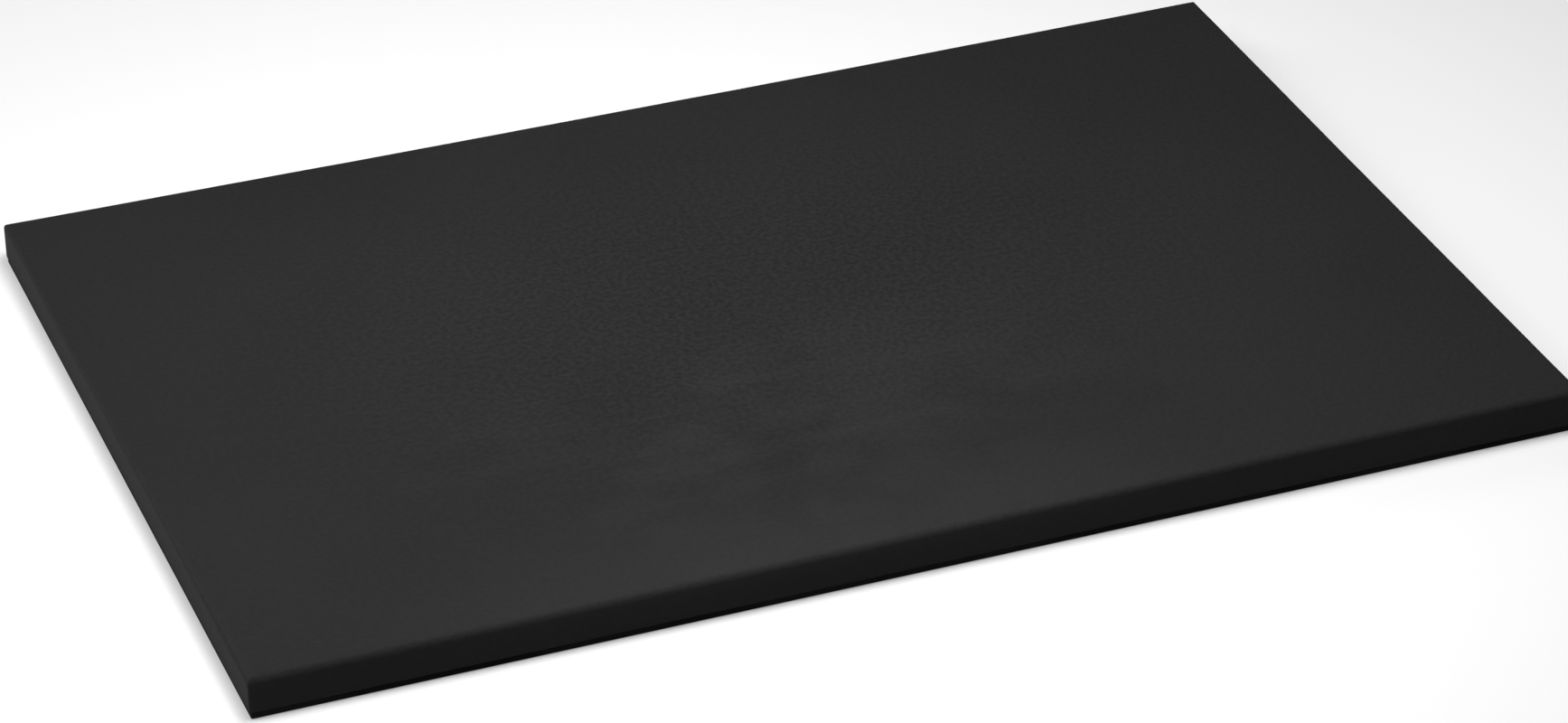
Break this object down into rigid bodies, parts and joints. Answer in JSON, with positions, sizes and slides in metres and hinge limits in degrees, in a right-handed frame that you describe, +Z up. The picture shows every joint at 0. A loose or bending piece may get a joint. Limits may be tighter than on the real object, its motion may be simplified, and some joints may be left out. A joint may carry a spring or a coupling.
{
  "type": "balance pad",
  "caption": "Thin rectangular balance pad to stand on: bonded foam sheets inside a matte black skin with a rolled top edge, on a set-in grip base.",
  "frame": {"origin": "centre of the underside, on the surface that the pad lies on", "axes": "+X along the long side, +Y along the short side, +Z up through the pad's thickness"},
  "size_m": [0.6, 0.4, 0.02],
  "materials": {
    "skin": "matte black closed skin with a very fine, even grain",
    "bond_film": "thin black hot-melt bonding film",
    "soft_foam": "soft charcoal closed-cell foam, cut cells showing",
    "firm_foam": "firm dark closed-cell foam with finer cells",
    "grip_rubber": "matte black foamed rubber, finely pitted"
  },
  "bodies": {
    "root": {"cover_skin": "skin", "cover_film": "bond_film", "comfort_foam": "soft_foam", "foam_film": "bond_film", "core_foam": "firm_foam", "base_film": "bond_film", "base_sheet": "grip_rubber"}
  },
  "joints": []
}
